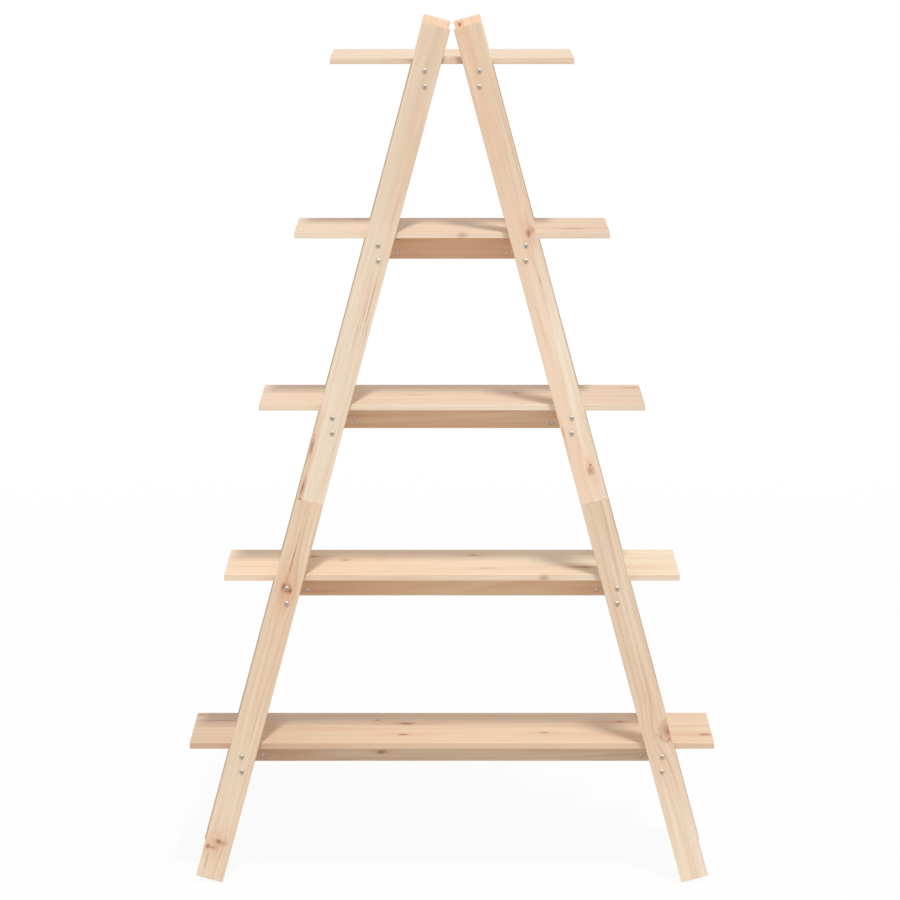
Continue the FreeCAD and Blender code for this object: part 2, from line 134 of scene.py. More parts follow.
class HardwareSettings(PropertyGroup):
    """Sizes and colours of the bolts, barrel nuts, screws, plates and dowels."""

    bolt_diameter: metres("Bolt Diameter", "Shank of the bolts", 0.006)
    bolt_head: metres("Bolt Head Diameter", "Width of the domed head", 0.0105)
    bolt_head_height: metres("Bolt Head Height", "From the leg's face to the crown", 0.0033)
    bolt_rim: metres("Bolt Rim", "Straight rim below the dome", 0.0008)
    bolt_socket: metres("Bolt Socket", "Across the flats of the hexagon socket", 0.004)
    bolt_socket_depth: metres("Bolt Socket Depth", "Depth of the hexagon socket", 0.0019)
    nut_diameter: metres("Barrel Nut Diameter", "Diameter of the cross dowel nuts", 0.010)
    nut_length: metres("Barrel Nut Length", "Length of the cross dowel nuts", 0.018)
    nut_inset: metres("Barrel Nut Inset", "From a stretcher's end to its nuts", 0.028)
    nut_chamfer: metres("Barrel Nut Chamfer", "Broken edge of the nuts", 0.0006)
    nut_slot: metres("Barrel Nut Slot", "Width of the screwdriver slot", 0.0014)
    nut_slot_depth: metres("Barrel Nut Slot Depth", "Depth of the screwdriver slot", 0.0013)
    screw_diameter: metres("Screw Diameter", "Shank of the plate screws", 0.004)
    screw_head: metres("Screw Head Diameter", "Width of the plate screws' heads", 0.008)
    screw_head_height: metres("Screw Head Height", "From the plate to the crown", 0.0024)
    screw_rim: metres("Screw Rim", "Straight rim below the screw's dome", 0.0006)
    screw_cross: metres("Screw Cross", "Width of the cross recess", 0.0042)
    screw_cross_depth: metres("Screw Cross Depth", "Depth of the cross recess", 0.0013)
    screw_length: metres("Screw Length", "From under the head to the tip", 0.014)
    screw_inner: metres("Inner Screw Place", "From a leg's seam to the nearer screws", 0.021)
    screw_outer: metres("Outer Screw Place", "From a leg's seam to the farther screws", 0.048)
    zinc: tint("Zinc", "Bright zinc plating of the bolts and screws", 210, 201, 190)
    zinc_shade: tint("Zinc Shade", "Dull patches in the plating", 184, 175, 164)
    # Painted shade: a darker colour inside the sockets and cross recesses
    recess_painted_shade: tint("Recess Painted Shade", "Dark inside of the sockets and cross recesses", 172, 161, 148)
    dull_zinc: tint("Dull Zinc", "Matt zinc of the barrel nuts", 214, 201, 191)
    dull_zinc_shade: tint("Dull Zinc Shade", "Dark patches on the barrel nuts", 196, 182, 170)
    steel: tint("Steel", "Galvanised sheet steel", 196, 199, 203)
    steel_shade: tint("Steel Shade", "Dark grains of the galvanising", 150, 155, 162)
    beech: tint("Beech", "Dowel wood", 224, 188, 150)
    beech_fleck: tint("Beech Fleck", "Short dark flecks in the dowel wood", 184, 138, 98)


class StageSettings(PropertyGroup):
    """Camera, lamp, world and floor."""

    camera_place: FloatVectorProperty(
        name="Camera Place", description="Where the camera stands", subtype="TRANSLATION",
        unit="LENGTH", default=(-0.0042, -9.0937, 2.2738))
    camera_dip: degrees("Camera Dip", "How far the camera looks down", 8.6366)
    camera_lens: FloatProperty(
        name="Camera Lens", description="Focal length in millimetres", default=174.52)
    key_turn: degrees("Key Turn", "How far right of the camera the lamp hangs", 12.5)
    key_rise: degrees("Key Rise", "How high above the horizon the lamp hangs", 59.0)
    key_distance: metres("Key Distance", "From the lamp to the middle of the shelf", 14.0)
    key_length: metres("Key Length", "Long side of the lamp", 3.1)
    key_width: metres("Key Width", "Short side of the lamp", 0.7)
    key_roll: degrees("Key Roll", "How far the lamp's long side turns from level", 119.35)
    key_power: FloatProperty(
        name="Key Power", description="Power of the lamp", unit="POWER", default=1110.0)
    sky: FloatProperty(name="Sky", description="Even white light from all round", default=0.57)
    floor_reach: metres("Floor Reach", "Where the floor has faded into the background", 6.0)
    floor_tone: share("Floor Tone", "How pale the floor is", 0.9)
    floor_white: share(
        "Floor White", "How far the floor turns white to the camera, which softens its shadows", 0.92)


class Net:
    """The nodes of one tree, with short calls that add, set and link them."""

    def __init__(self, tree):
        self.tree = tree

    def feed(self, socket, value):
        """Link a socket to another one, or set it to a plain value."""
        if isinstance(value, bpy.types.NodeSocket):
            self.tree.links.new(value, socket)
        else:
            socket.default_value = value

    def fill(self, sockets, values):
        """Feed several sockets, each by its name or number."""
        for key, value in values.items():
            self.feed(sockets[key], value)

    def node(self, kind, inputs=None, **settings):
        node = self.tree.nodes.new(kind)
        for name, value in settings.items():
            setattr(node, name, value)
        self.fill(node.inputs, inputs or {})
        return node

    def add(self, kind, inputs=None, **settings):
        """The outputs of a new node."""
        return self.node(kind, inputs, **settings).outputs

    def math(self, operation, *values):
        return self.add("ShaderNodeMath", dict(enumerate(values)), operation=operation)[0]

    def times(self, first, second):
        return self.math("MULTIPLY", first, second)

    def halved(self, value):
        return self.math("DIVIDE", value, 2.0)

    def vector(self, operation, *values):
        outputs = self.add("ShaderNodeVectorMath", dict(enumerate(values)), operation=operation)
        return outputs["Value" if operation in ("LENGTH", "DOT_PRODUCT") else "Vector"]

    def scaled(self, vector, factor):
        return self.add(
            "ShaderNodeVectorMath", {"Vector": vector, "Scale": factor}, operation="SCALE")["Vector"]

    def parts(self, vector):
        """A vector's X, Y and Z."""
        return self.add("ShaderNodeSeparateXYZ", {0: vector})

    def joined(self, **parts):
        """A vector from its X, Y and Z; one that is left out is 0."""
        return self.add("ShaderNodeCombineXYZ", parts)[0]

    def ramp(self, value, low, high):
        """0 at the low value, 1 at the high one, smooth between them."""
        return self.add(
            "ShaderNodeMapRange", {"Value": value, "From Min": low, "From Max": high},
            interpolation_type="SMOOTHSTEP")["Result"]

    def spread(self, value, low, high):
        """A 0 to 1 value spread between two others."""
        return self.add("ShaderNodeMapRange", {"Value": value, "To Min": low, "To Max": high})["Result"]

    def noise(self, place, pattern):
        """A noise pattern's value and colour."""
        return self.add("ShaderNodeTexNoise", {
            "Vector": self.vector("MULTIPLY", place, pattern.scale), "Scale": 1.0,
            "Detail": pattern.detail, "Roughness": pattern.roughness})

    def patches(self, place, pattern):
        """0 to 1, as a noise pattern goes from its low limit to its high one."""
        return self.ramp(self.noise(place, pattern)[0], pattern.low, pattern.high)

    def mix(self, factor, first, second, blend="MIX"):
        return self.add("ShaderNodeMix", {
            MIX_FACTOR: factor, MIX_FIRST: first, MIX_SECOND: second},
            data_type="RGBA", blend_type=blend)[MIX_RESULT]

    def bump(self, height, strength, distance):
        return self.add("ShaderNodeBump", {
            "Height": height, "Strength": strength, "Distance": distance})[0]

    def object_place(self):
        return self.add("ShaderNodeTexCoord")["Object"]


# A noise pattern: how often it repeats in a metre along X, Y and Z, its detail and roughness, and
# the values between which it shows
Pattern = namedtuple("Pattern", "scale detail roughness low high", defaults=(2.0, 0.5, 0.0, 1.0))


def opaque(colour):
    """A colour with its fourth value, as colour sockets take it."""
    return (*colour, 1.0)


def new_group(name, kind, inputs, outputs):
    """A node group with its sockets listed by kind, its net, and its inner inputs and outputs."""
    tree = bpy.data.node_groups.new(name, kind)
    for way, kinds in (("INPUT", inputs), ("OUTPUT", outputs)):
        for socket, labels in kinds.items():
            for label in labels:
                tree.interface.new_socket(label, in_out=way, socket_type="NodeSocket" + socket)
    net = Net(tree)
    return tree, net, net.add("NodeGroupInput"), net.node("NodeGroupOutput").inputs


def shared_group(name, make):
    """A node group that is made at its first use."""
    return bpy.data.node_groups.get(name) or make()


def empty_nodes(owner):
    """A material or world with no nodes yet, and the net that adds them."""
    owner.use_nodes = True
    owner.node_tree.nodes.clear()
    return owner, Net(owner.node_tree)


def new_material(name):
    """A node material, its net and the inputs of its surface shader."""
    material, net = empty_nodes(bpy.data.materials.new(name))
    shader = net.node("ShaderNodeBsdfPrincipled")
    net.add("ShaderNodeOutputMaterial", {"Surface": shader.outputs[0]})
    return material, net, shader.inputs


def wear(node, material):
    """Give a CAD node its finish."""
    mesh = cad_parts[node].data
    mesh.materials.clear()
    mesh.materials.append(material)


# Pine

KNOT_GROUP = "knot"
FIGURE_GROUP = "pine_figure"

# A knot on a board's wide face goes through the board; one on its edge is a short stub.
# Its swirl is how far, across and along the grain, it bends the ring lines; ragged is how far its
# outline strays, in radii.
Knot = namedtuple(
    "Knot", "along across radius stretch dark swirl on_edge ragged",
    defaults=(1.3, 1.0, None, False, 1.15))
KNOT_THROUGH = 0.2
KNOT_STUB = 0.012
SWIRL_ACROSS, SWIRL_ALONG = 2.5, 6.0

# Between which distances from its middle, in radii, each part of a knot comes in
HEART, CORE, HALO = (1.25, 0.35), (0.7, 0.1), (3.2, 0.3)
RIM_INSIDE, RIM_OUTSIDE = (0.5, 0.9), (1.4, 0.9)
HALO_SHAPE = (1.0, 1.0, 0.4)
FAINTEST_STAIN = 0.3
KNOT_PUSH = -0.85
KNOT_OUTLINE = Pattern((260.0, 260.0, 140.0), 4.0, 0.65, 0.44, 0.62)
KNOT_FIBRES = Pattern((320.0, 320.0, 12.0), low=0.35, high=0.65)

# A board's pith and its drift along the grain, the spacing and strength of the ring lines, where
# across the board they fade in, the tones of its faces and edges, and the tones that come over it
# between two places along it or across it
Figure = namedtuple(
    "Figure", "pith spacing tone knots lines fade_in edge_tone far_tone side_tone drift",
    defaults=((), 1.0, None, None, None, None, (0.006, 0.003)))

# How far apart, in piths, two boards' patterns lie, how far the rings sway in metres and ripple in
# rings, where in a ring its line rises and falls, and how the lines differ in weight
BOARD_SHIFT = 37.0
SWAY_REACH, RIPPLE_REACH = 0.036, 0.55
LINE_RISE, LINE_FALL = (0.2, 0.88), (1.0, 0.9)
WEIGHT_POWER = 1.7
FAINTEST_RING, FAINTEST_PATCH, FAINTEST_FADE = 0.12, 0.2, 0.15
SWAY = Pattern((5.0, 5.0, 2.4), 1.0)
RIPPLE = Pattern((70.0, 70.0, 5.0))
RING_PATCHES = Pattern((26.0, 26.0, 1.1), 1.0, low=0.36, high=0.66)
FIBRE = Pattern((1100.0, 1100.0, 22.0), 2.0, 0.6)
STREAKS = Pattern((170.0, 170.0, 3.2), 3.0, 0.6, 0.5, 0.78)
CLOUDS = Pattern((26.0, 26.0, 1.8), 4.0, 0.6, 0.36, 0.7)
BANDS = Pattern((85.0, 85.0, 2.2), 2.0, 0.6, 0.48, 0.72)
MIDDLE_GREY = (0.5, 0.5, 0.5)

# Which colour each mask of the grain and of a knot brings, and how strongly
GRAIN_STAINS = (("Cloud", "blush", 0.6), ("Streak", "streak", 0.6), ("Band", "cream", 0.5))
KNOT_STAINS = (
    ("Halo", "halo", 0.6), ("Heart", "knot", 0.8),
    ("Rim", "knot_core", 0.45), ("Core", "knot_core", 0.75))
FIBRE_SHADE = (0.92, 1.06)
FACING = (0.75, 0.95)
END_GRAIN_STRENGTH = 0.55
ROUGHNESS_SPREAD = 0.16
RING_HEIGHT, FIBRE_HEIGHT, PINE_BUMP = 0.6, 0.5, 0.5

# How the lightness of the red, green and blue of single boards departs from the common pine
TONE_GAMMA = 2.2
TONES = {
    "pale": (1.01, 1.025, 1.035),
    "plain": (1.01, 1.01, 1.015),
    "ash": (0.985, 0.997, 1.0),
    "rosy": (1.03, 1.018, 1.018),
    "honey": (0.99, 0.975, 0.965),
    "bright": (1.06, 1.075, 1.09),
    "grey": (0.934, 0.962, 0.975),
    "light": (1.025, 1.065, 1.095),
    "tan": (0.945, 0.912, 0.89),
    "mint": (1.0, 1.045, 1.075),
    "amber": (0.955, 0.92, 0.895),
    "straw": (0.98, 0.957, 0.935),
    "russet": (1.0, 0.945, 0.9),
    "chestnut": (0.98, 0.965, 0.935),
    "hazel": (0.965, 0.94, 0.91),
    "copper": (0.96, 0.89, 0.845),
    "oat": (0.935, 0.925, 0.92),
    "wheat": (1.01, 0.998, 0.985),
    "cool": (0.99, 1.03, 1.05),
    "peach": (1.054, 1.041, 1.023),
    "shell": (0.995, 0.98, 0.974),
    "cotton": (1.018, 1.055, 1.07),
}


def knot_group():
    """The shape of one knot in a board, and how it pushes the rings aside."""
    tree, net, given, result = new_group(
        KNOT_GROUP, "ShaderNodeTree",
        {"Vector": ("Vector", "Centre", "Radii", "Swirl"), "Float": ("Ragged",)},
        {"Float": ("Heart", "Core", "Rim", "Halo", "Push")})
    offset = net.vector("SUBTRACT", given["Vector"], given["Centre"])
    scaled = net.vector("DIVIDE", offset, given["Radii"])
    rough = net.noise(given["Vector"], KNOT_OUTLINE)
    ragged = net.scaled(net.vector("SUBTRACT", rough[1], MIDDLE_GREY), given["Ragged"])
    reach = net.vector("LENGTH", net.vector("ADD", scaled, ragged))
    rim = net.times(net.ramp(reach, *RIM_INSIDE), net.ramp(reach, *RIM_OUTSIDE))
    broken = net.ramp(rough[0], KNOT_OUTLINE.low, KNOT_OUTLINE.high)
    spread = net.vector("LENGTH", net.vector("MULTIPLY", scaled, HALO_SHAPE))
    stain = net.spread(net.patches(given["Vector"], KNOT_FIBRES), FAINTEST_STAIN, 1.0)
    far = net.vector("LENGTH", net.vector("DIVIDE", offset, given["Swirl"]))
    fade = net.math("EXPONENT", net.times(net.math("POWER", far, 2.0), -1.0))
    aside = net.times(net.parts(offset)["X"], fade)
    net.fill(result, {
        "Heart": net.ramp(reach, *HEART), "Core": net.ramp(reach, *CORE),
        "Rim": net.times(rim, broken),
        "Halo": net.times(net.ramp(spread, *HALO), stain),
        "Push": net.times(aside, KNOT_PUSH)})
    return tree


def figure_group():
    """Year rings about a pith that lies beside the board, with fibres, streaks and clouds."""
    tree, net, given, result = new_group(
        FIGURE_GROUP, "ShaderNodeTree",
        {"Vector": ("Vector", "Pith", "Drift"), "Float": ("Spacing", "Push")},
        {"Float": ("Rings", "Fibre", "Streak", "Cloud", "Band")})
    place = net.vector("ADD", given["Vector"], net.scaled(given["Pith"], BOARD_SHIFT))
    sway = net.vector("SUBTRACT", net.noise(place, SWAY)[1], MIDDLE_GREY)
    pith = net.vector("ADD", given["Pith"], net.scaled(given["Drift"], net.parts(given["Vector"])["Z"]))
    from_pith = net.vector("SUBTRACT", given["Vector"], pith)
    from_pith = net.vector("ADD", from_pith, net.scaled(sway, SWAY_REACH))
    aside = net.joined(X=given["Push"])
    from_pith = net.vector("MULTIPLY", net.vector("ADD", from_pith, aside), LEVEL)
    year = net.math("DIVIDE", net.vector("LENGTH", from_pith), given["Spacing"])
    ripple = net.times(net.noise(place, RIPPLE)[0], RIPPLE_REACH)
    year = net.math("ADD", year, ripple)
    part = net.math("FRACT", year)
    line = net.times(net.ramp(part, *LINE_RISE), net.ramp(part, *LINE_FALL))
    chance = net.add(
        "ShaderNodeTexWhiteNoise", {"W": net.math("FLOOR", year)}, noise_dimensions="1D")
    chance = net.math("POWER", chance["Value"], WEIGHT_POWER)
    shown = net.spread(net.patches(place, RING_PATCHES), FAINTEST_PATCH, 1.0)
    weight = net.times(net.spread(chance, FAINTEST_RING, 1.0), shown)
    bent = net.vector("ADD", place, aside)
    net.fill(result, {
        "Rings": net.times(line, weight), "Fibre": net.noise(bent, FIBRE)[0],
        "Streak": net.patches(bent, STREAKS), "Cloud": net.patches(bent, CLOUDS),
        "Band": net.patches(bent, BANDS)})
    return tree


def board_turn(along, across):
    """The turn that lays a pattern's Z along a board's grain and its X across its wide face."""
    return Matrix((across, along.cross(across), along)).transposed().to_euler()


def tone_colour(tone):
    """What a board's colours are multiplied by for its tone."""
    return opaque(part ** TONE_GAMMA for part in TONES[tone])


def knotted(net, place, figure):
    """The knots of a board, each with its depth of colour, and their push on the ring lines."""
    group = shared_group(KNOT_GROUP, knot_group)
    knots, push = [], 0.0
    for shape in figure.knots:
        length = shape.radius * shape.stretch
        sides = (KNOT_STUB, shape.radius) if shape.on_edge else (shape.radius, KNOT_THROUGH)
        swirl = shape.swirl or (SWIRL_ACROSS * shape.radius, SWIRL_ALONG * length)
        knot = net.add("ShaderNodeGroup", {
            "Vector": place, "Centre": (shape.across, 0.0, shape.along),
            "Radii": (*sides, length), "Swirl": (swirl[0], KNOT_THROUGH, swirl[1]),
            "Ragged": shape.ragged}, node_tree=group)
        push = net.math("ADD", push, knot["Push"])
        knots.append((knot, shape.dark))
    return knots, push


def pine(name, origin, along, across, figure):
    """Planed pine whose rings, streaks and knots follow one board."""
    look = bpy.context.scene.shelf_pine
    material, net, surface = new_material(name)
    place = net.add("ShaderNodeMapping", {
        "Vector": net.object_place(), "Location": origin, "Rotation": board_turn(along, across)},
        vector_type="TEXTURE")[0]
    knots, push = knotted(net, place, figure)
    grain = net.add("ShaderNodeGroup", {
        "Vector": place, "Pith": (*figure.pith, 0.0), "Drift": (*figure.drift, 0.0),
        "Spacing": figure.spacing, "Push": push},
        node_tree=shared_group(FIGURE_GROUP, figure_group))

    def stained(wood, mask, strength, colour):
        return net.mix(net.times(mask, strength), wood, opaque(getattr(look, colour)))

    lines = grain["Rings"]
    spot = net.parts(place)
    if figure.fade_in:
        shown = net.spread(net.ramp(spot["X"], *figure.fade_in), FAINTEST_FADE, 1.0)
        lines = net.times(lines, shown)
    wood = stained(opaque(look.early_wood), lines, look.ring_contrast * figure.lines, "late_wood")
    for mask, colour, strength in GRAIN_STAINS:
        wood = stained(wood, grain[mask], strength, colour)
    shade = net.spread(grain["Fibre"], *FIBRE_SHADE)
    shade = net.add("ShaderNodeCombineColor", {0: shade, 1: shade, 2: shade})[0]
    wood = net.mix(1.0, wood, shade, "MULTIPLY")
    for knot, dark in knots:
        for mask, colour, strength in KNOT_STAINS:
            wood = stained(wood, knot[mask], strength * dark, colour)
    normal = net.add("ShaderNodeNewGeometry")["Normal"]

    def facing(way):
        return net.ramp(net.math("ABSOLUTE", net.vector("DOT_PRODUCT", normal, way)), *FACING)

    tone = tone_colour(figure.tone)
    if figure.edge_tone:
        tone = net.mix(facing(across), tone, tone_colour(figure.edge_tone))
    wood = net.mix(1.0, wood, tone, "MULTIPLY")
    for axis, shift in (("Z", figure.far_tone), ("X", figure.side_tone)):
        if shift:
            shift_tone, start, stop = shift
            come_in = net.ramp(spot[axis], start, stop)
            wood = net.mix(come_in, wood, tone_colour(shift_tone), "MULTIPLY")
    sawn = net.times(facing(along), END_GRAIN_STRENGTH)
    fibre_height = net.times(grain["Fibre"], FIBRE_HEIGHT)
    height = net.math("MULTIPLY_ADD", grain["Rings"], RING_HEIGHT, fibre_height)
    net.fill(surface, {
        "Base Color": net.mix(sawn, wood, opaque(look.end_grain), "MULTIPLY"),
        "Roughness": net.math(
            "MULTIPLY_ADD", grain["Fibre"], ROUGHNESS_SPREAD, look.roughness - ROUGHNESS_SPREAD / 2),
        "Normal": net.bump(height, PINE_BUMP, look.relief)})
    return material


def clad(node, origin, along, across, figure):
    """Give a CAD node its own piece of pine."""
    wear(node, pine(node + "_pine", origin, along, across, figure))


# Boards of the shelf, with the knots that show on them

# The front legs' far tones make each half of them darker towards its upper end
LEG_FIGURES = {
    "front_left_upper_leg": Figure((-0.085, 0.055), 0.0062, "light", (
        Knot(0.949, -0.0255, 0.004, 5.5, 0.8),
        Knot(0.862, -0.022, 0.0042, 7.0, 0.7),
        Knot(0.836, -0.0205, 0.003, 1.5, 1.0),
        Knot(1.265, 0.0155, 0.0013, 50.0, 0.5),
        Knot(1.25, 0.0085, 0.0009, 50.0, 0.45),
        Knot(1.215, 0.0215, 0.0009, 45.0, 0.4),
        Knot(1.195, 0.003, 0.0009, 40.0, 0.4),
    ), lines=1.3, fade_in=(-0.014, 0.006), far_tone=("amber", 0.95, 1.8), drift=(0.06, 0.004)),
    "front_right_upper_leg": Figure((0.11, 0.06), 0.0055, "rosy", (
        Knot(1.413, 0.012, 0.0055, 1.5, 0.8),
        Knot(1.418, 0.02, 0.007, 1.3, 0.35),
        Knot(0.904, 0.01, 0.0085, 1.3, 0.5),
        Knot(0.915, 0.012, 0.003, 1.0, 1.0),
        Knot(1.315, 0.01, 0.001, 14.0, 0.5),
        Knot(0.997, -0.025, 0.0015, 8.0, 0.5),
    ), lines=0.6, fade_in=(-0.01, 0.022), far_tone=("amber", 1.05, 1.8),
        side_tone=("mint", -0.012, 0.022), drift=(-0.01, 0.004)),
    "front_left_lower_leg": Figure((-0.06, 0.07), 0.0066, "pale", (
        Knot(0.649, -0.001, 0.0105, 1.2, 0.9, (0.02, 0.05)),
        Knot(0.646, 0.0075, 0.0054, 1.2, 1.0),
        Knot(0.653, -0.008, 0.0042, 1.6, 0.95),
        Knot(0.715, -0.003, 0.0017, 38.0, 0.6),
        Knot(0.089, 0.003, 0.016, 0.5, 0.45, (0.01, 0.01), ragged=0.6),
        Knot(0.075, -0.012, 0.014, 0.35, 0.4, (0.01, 0.01), ragged=0.6),
        Knot(0.091, -0.001, 0.0046, 1.1, 0.8),
        Knot(0.075, -0.021, 0.0045, 1.2, 0.7),
        Knot(0.045, -0.016, 0.0022, 12.0, 0.35),
    ), lines=1.1, far_tone=("straw", 0.1, 0.45), drift=(0.014, 0.004)),
    "front_right_lower_leg": Figure((-0.07, 0.06), 0.0068, "light", (
        Knot(0.33, 0.0265, 0.0215, 1.15, 0.55, (0.04, 0.06), ragged=0.3),
        Knot(0.327, 0.0255, 0.0025, 2.0, 0.8),
        Knot(0.311, 0.023, 0.003, 1.4, 0.7),
        Knot(0.322, 0.009, 0.003, 1.5, 0.4),
    ), lines=0.75, far_tone=("amber", 0.05, 0.5), drift=(0.01, 0.004)),
    "rear_left_upper_leg": Figure((-0.09, -0.06), 0.006, "bright"),
    # Painted light: this bright tone lightens the rear right legs, so that their strip beside the front
    # right leg shows pale in the shade that falls there
    "rear_right_upper_leg": Figure((0.09, -0.05), 0.006, "bright", (
        Knot(1.846, -0.018, 0.004, 1.2, 0.9),
        Knot(1.12, 0.01, 0.006, 1.5, 0.8),
    )),
    "rear_left_lower_leg": Figure((0.075, -0.06), 0.0064, "plain", (
        Knot(0.43, 0.014, 0.007, 1.5, 0.8),
    )),
    # Painted light, as on the upper half: this bright tone lightens the strip in shade beside the front
    # leg
    "rear_right_lower_leg": Figure((-0.08, -0.05), 0.0062, "bright", (
        Knot(0.56, -0.012, 0.006, 1.5, 0.8),
    )),
}

SHELF_FIGURES = {
    "top": Figure((0.04, -0.11), 0.006, "ash", (
        Knot(-0.075, -0.15, 0.004, 5.0, 0.4, on_edge=True),
    ), edge_tone="ash", drift=(0.02, 0.004)),
    "second": Figure((-0.05, -0.12), 0.006, "plain", (
        Knot(0.021, -0.15, 0.009, 1.3, 0.36, on_edge=True),
        Knot(-0.26, 0.092, 0.006, 1.2, 0.6),
        Knot(-0.2, 0.115, 0.0085, 1.4, 0.8),
        Knot(0.25, -0.074, 0.012, 2.5, 0.65),
    ), edge_tone="light", far_tone=("oat", 0.05, 0.45), drift=(0.016, 0.004)),
    "third": Figure((0.09, -0.14), 0.0062, "plain", (
        Knot(0.136, 0.022, 0.009, 1.0, 0.9),
        Knot(-0.08, -0.009, 0.0045, 7.0, 0.7),
        Knot(0.38, 0.104, 0.009, 2.6, 0.5),
    ), edge_tone="cotton", far_tone=("oat", 0.15, 0.5), drift=(0.012, 0.004)),
    "fourth": Figure((-0.11, -0.13), 0.006, "peach", (
        Knot(-0.295, 0.065, 0.009, 1.0, 0.9),
        Knot(-0.225, 0.021, 0.01, 1.2, 0.6),
        Knot(-0.145, 0.023, 0.004, 1.0, 0.7),
        Knot(0.045, 0.081, 0.01, 1.1, 0.8),
        Knot(0.07, -0.076, 0.01, 3.2, 0.3),
        Knot(0.275, -0.06, 0.014, 2.8, 0.75),
        Knot(0.192, -0.15, 0.007, 1.7, 0.45, on_edge=True),
    ), edge_tone="shell", far_tone=("cool", -0.4, 0.25), drift=(0.014, 0.004)),
    "bottom": Figure((0.06, -0.15), 0.0066, "wheat", (
        Knot(-0.16, 0.074, 0.007, 1.2, 0.7),
        Knot(-0.098, 0.039, 0.0125, 1.6, 1.0),
        Knot(-0.103, -0.069, 0.011, 1.3, 0.8),
        Knot(0.195, -0.051, 0.009, 1.1, 0.7),
        Knot(0.36, 0.058, 0.01, 1.5, 0.9),
        Knot(0.535, -0.069, 0.011, 1.4, 0.8),
        Knot(-0.542, 0.127, 0.007, 1.4, 0.8),
        Knot(-0.495, 0.07, 0.006, 9.0, 0.5),
    ), edge_tone="tan", far_tone=("oat", 0.0, -0.6), drift=(0.01, 0.004)),
}

STRETCHER_FIGURES = {
    "second": Figure((-0.03, 0.09), 0.0068, "russet"),
    "third": Figure((0.02, 0.08), 0.0072, "hazel"),
    "fourth": Figure(
        (-0.02, 0.07), 0.007, "chestnut", far_tone=("amber", 0.06, -0.25), drift=(0.03, 0.006)),
    "bottom": Figure((0.05, 0.07), 0.0068, "grey", (
        Knot(-0.15, -0.009, 0.005, 2.6, 0.75),
    ), far_tone=("copper", -0.15, -0.37)),
}

# The cleats' pith, how it moves from tier to tier, their ring spacing and their tones in turn
CLEAT_PITH, CLEAT_PITH_STEP = (0.03, 0.085), (0.015, -0.007)
CLEAT_SPACING = 0.006
CLEAT_TONES = ("honey", "plain")


def lean():
    """How far each leg leans inwards, from the cleats that it carries."""
    top, bottom = centre("top_right_cleat"), centre("bottom_right_cleat")
    return math.atan2(bottom.x - top.x, top.z - bottom.z)


def leg_turn(side):
    """The turn from upright to the lean of a left (-1) or right (1) leg."""
    return Matrix.Rotation(-side * lean(), 3, "Y")


def leg_foot(side):
    """Where a leg's middle line meets the floor, down from the upper bolt of its bottom cleat."""
    cleat = "bottom_right_cleat"
    return side * (centre(cleat).x + bolt_rows(cleat)[0] * math.tan(lean()))


class SHELF_OT_legs(Operator):
    """Give each half of the four legs its own piece of pine, with the grain along the leg"""

    bl_idname = "shelf.legs"
    bl_label = "Dress Legs"

    def execute(self, context):
        for name, figure in LEG_FIGURES.items():
            side = SIDES[name.split("_")[1]]
            turn = leg_turn(side)
            origin = Vector((leg_foot(side), centre(name).y, 0.0))
            clad(name, origin, turn @ UP, turn @ ACROSS, figure)
        return {"FINISHED"}


class SHELF_OT_boards(Operator):
    """Give the five shelf boards their pine, with the grain from end to end"""

    bl_idname = "shelf.boards"
    bl_label = "Dress Boards"

    def execute(self, context):
        for tier, figure in SHELF_FIGURES.items():
            name = tier + "_shelf"
            clad(name, centre(name), ACROSS, DEEP, figure)
        return {"FINISHED"}


class SHELF_OT_rails(Operator):
    """Give the cleats and stretchers under the boards their pine"""

    bl_idname = "shelf.rails"
    bl_label = "Dress Rails"

    def execute(self, context):
        for tier, figure in STRETCHER_FIGURES.items():
            name = tier + "_stretcher"
            clad(name, centre(name), ACROSS, UP, figure)
        for name, tier, sign in cleats():
            step = TIERS.index(tier)
            aside, below = (start + step * move for start, move in zip(CLEAT_PITH, CLEAT_PITH_STEP))
            figure = Figure((sign * aside, below), CLEAT_SPACING, CLEAT_TONES[step % len(CLEAT_TONES)])
            clad(name, centre(name), DEEP, UP, figure)
        return {"FINISHED"}


# Bolts, nuts, screws and plates

FASTENER_GROUP = "domed_fastener"
BRIGHT_ZINC = "bright_zinc"
GEOMETRY, FINISH = ("Geometry",), ("Finish",)

# Where a fastener sits, the way its head or end faces, and the way its bolt or leg runs
Seat = namedtuple("Seat", "place facing bolt")

# A face attribute that is 1 inside a fastener's recess, where the recess takes its painted shade
RECESS = "recess"

PLATING = Pattern((420.0, 420.0, 420.0), 3.0, 0.6, 0.35, 0.7)
SCRATCHES = Pattern((2600.0, 2600.0, 2600.0), 1.0)
ROLLING = Pattern((1800.0, 1800.0, 40.0))
FLECKS = Pattern((1500.0, 1500.0, 260.0), 2.0, 0.6, 0.52, 0.7)
ZINC_GRAINS = 260.0
ROLLED_SHARE = 0.4
BRIGHT_ROUGHNESS, DULL_ROUGHNESS = (0.4, 0.8), (0.3, 0.6)
STEEL_ROUGHNESS, BEECH_ROUGHNESS = (0.3, 0.5), (0.5, 0.7)
SCRATCH_BUMP, ROLLED_BUMP, METAL_RELIEF = 0.15, 0.2, 0.00005

# Sides of the round parts and of the hexagon socket, and rings of the dome and the chamfering spindle
ROUND_SIDES, SHANK_SIDES, HEXAGON_SIDES = 48, 24, 6
DOME_RINGS, SPINDLE_RINGS = 40, 2

# Shares of a recess's width: a blade of its cross, and how far from the axis its faces lie
CROSS_BLADE, RECESS_REACH = 0.26, 0.53
CUT_THROUGH = 1.2
SHARP_ANGLE = math.radians(32.0)
QUARTER = math.pi / 2
UPRIGHT, TURNED_DEEP, TURNED_LEVEL = (0.0, 0.0, 0.0), (QUARTER, 0.0, 0.0), (0.0, 0.0, QUARTER)


